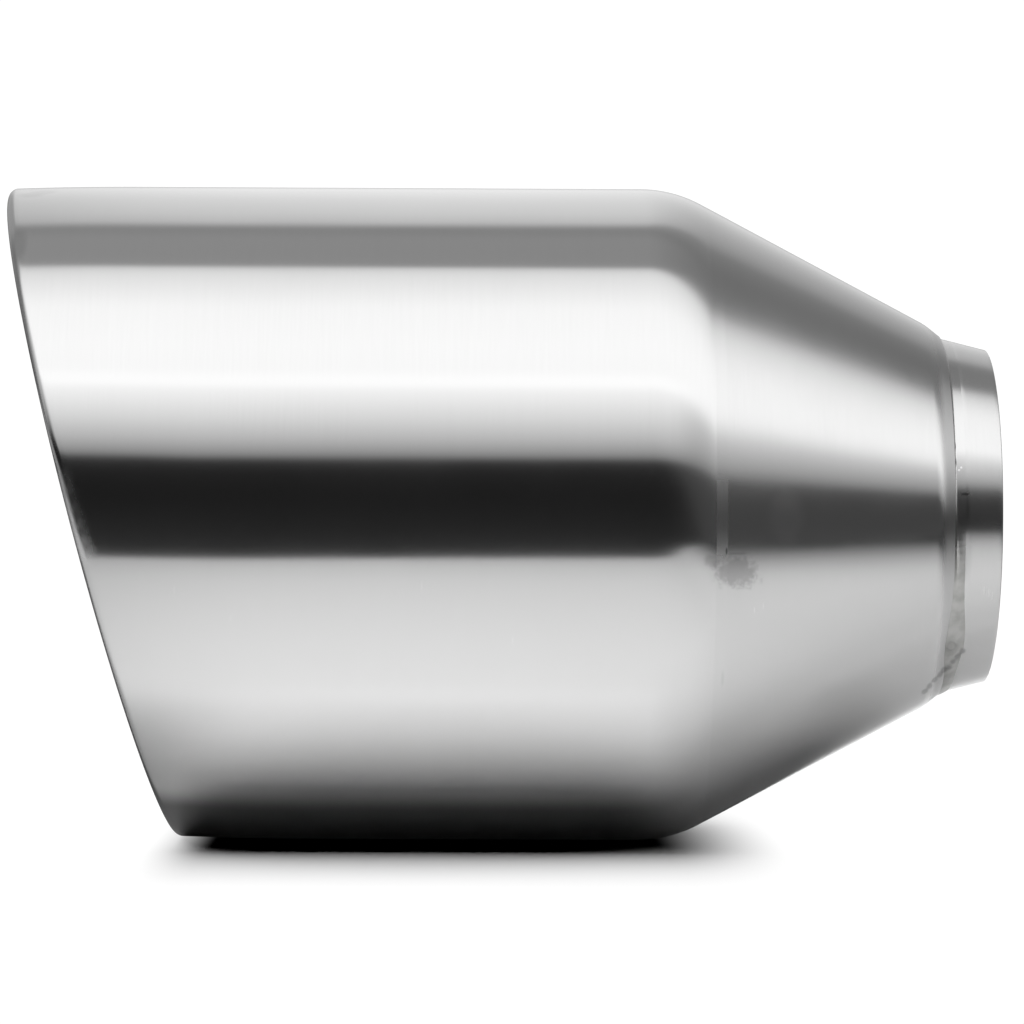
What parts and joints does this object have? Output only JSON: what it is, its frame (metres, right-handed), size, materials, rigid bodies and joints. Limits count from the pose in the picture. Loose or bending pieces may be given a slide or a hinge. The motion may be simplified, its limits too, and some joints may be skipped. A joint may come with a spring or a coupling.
{
  "type": "exhaust tip",
  "caption": "Slash-cut round exhaust tip with a curled lip, a reducing cone and a short weld-on inlet collar.",
  "frame": {"origin": "centre of the inlet collar's end face, on the bore axis", "axes": "+X along the bore, out of the inlet toward the tailpipe; the slanted mouth is toward -X; +Z toward the mouth's longer lip"},
  "size_m": [0.1946, 0.13, 0.13],
  "materials": {
    "barrel_steel": "satin polished stainless with fine hairlines around the barrel",
    "dressed_weld": "weld ground flush and polished",
    "cone_steel": "satin polished stainless",
    "raw_weld": "rough weld bead, left as laid",
    "collar_steel": "satin stainless"
  },
  "bodies": {
    "root": {"barrel": "barrel_steel", "girth_weld": "dressed_weld", "reducer_cone": "cone_steel", "collar_weld": "raw_weld", "inlet_collar": "collar_steel"}
  },
  "joints": []
}
